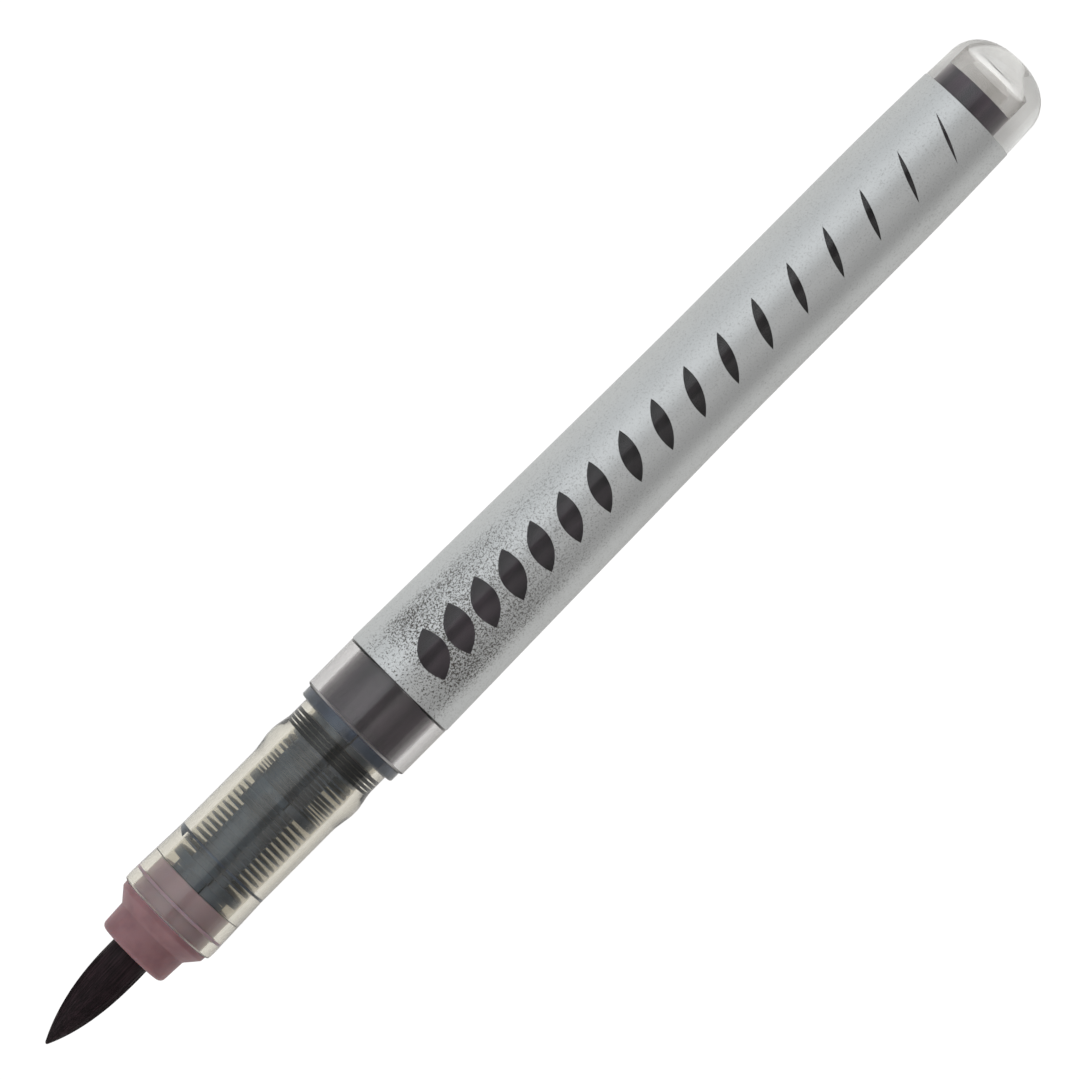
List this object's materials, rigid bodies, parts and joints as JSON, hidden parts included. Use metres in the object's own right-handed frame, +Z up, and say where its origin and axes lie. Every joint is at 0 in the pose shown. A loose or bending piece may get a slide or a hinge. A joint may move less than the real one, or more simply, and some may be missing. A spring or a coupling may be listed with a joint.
{
  "type": "free-ink brush calligraphy marker",
  "caption": "Calligraphy brush marker without its cap: fibre brush in a stepped holder, clear grip over a finned regulator, thick clear barrel full of ink, silver label with stroke windows.",
  "frame": {"origin": "centre of the bounding box in X and Y, on the plane that the pen lies on", "axes": "the pen lies on its side: +X runs along its axis from the point of the brush to the closed tail, +Z is up"},
  "size_m": [0.1384, 0.0132, 0.0133],
  "materials": {
    "clear_barrel": "clear, polished",
    "ink": "wet purplish black ink",
    "silver_film": "satin silver film with a dark grain",
    "clear_grip": "clear with a warm tint, polished",
    "holder_plastic": "mauve-brown, slightly translucent",
    "regulator_plastic": "blue-grey, wetted with ink",
    "seal_rubber": "black, wet",
    "wick_fibre": "bonded fibre soaked with ink",
    "brush_fibre": "fine fibre soaked with ink"
  },
  "bodies": {
    "barrel_body": {"barrel": "clear_barrel", "ink_charge": "ink", "label": "silver_film"},
    "section": {"grip_housing": "clear_grip", "nib_holder": "holder_plastic", "regulator": "regulator_plastic", "reservoir_seal": "seal_rubber", "feed_wick": "wick_fibre"},
    "nib": {"brush_stem": "brush_fibre"},
    "tip": {"brush_point": "brush_fibre"}
  },
  "joints": [
    {"name": "section_pull", "type": "slide", "parent": "barrel_body", "child": "section", "axis": [-1, 0, 0], "range_m": [0, 0.008]},
    {"name": "nib_pull", "type": "slide", "parent": "section", "child": "nib", "axis": [-1, 0, 0], "range_m": [0, 0.014]},
    {"name": "brush_flex", "type": "hinge", "parent": "nib", "child": "tip", "pos_m": [-0.0606, 0, 0.00663], "axis": [0, 1, 0], "range_deg": [-35, 35], "stiffness_Nm_per_rad": 0.005}
  ]
}
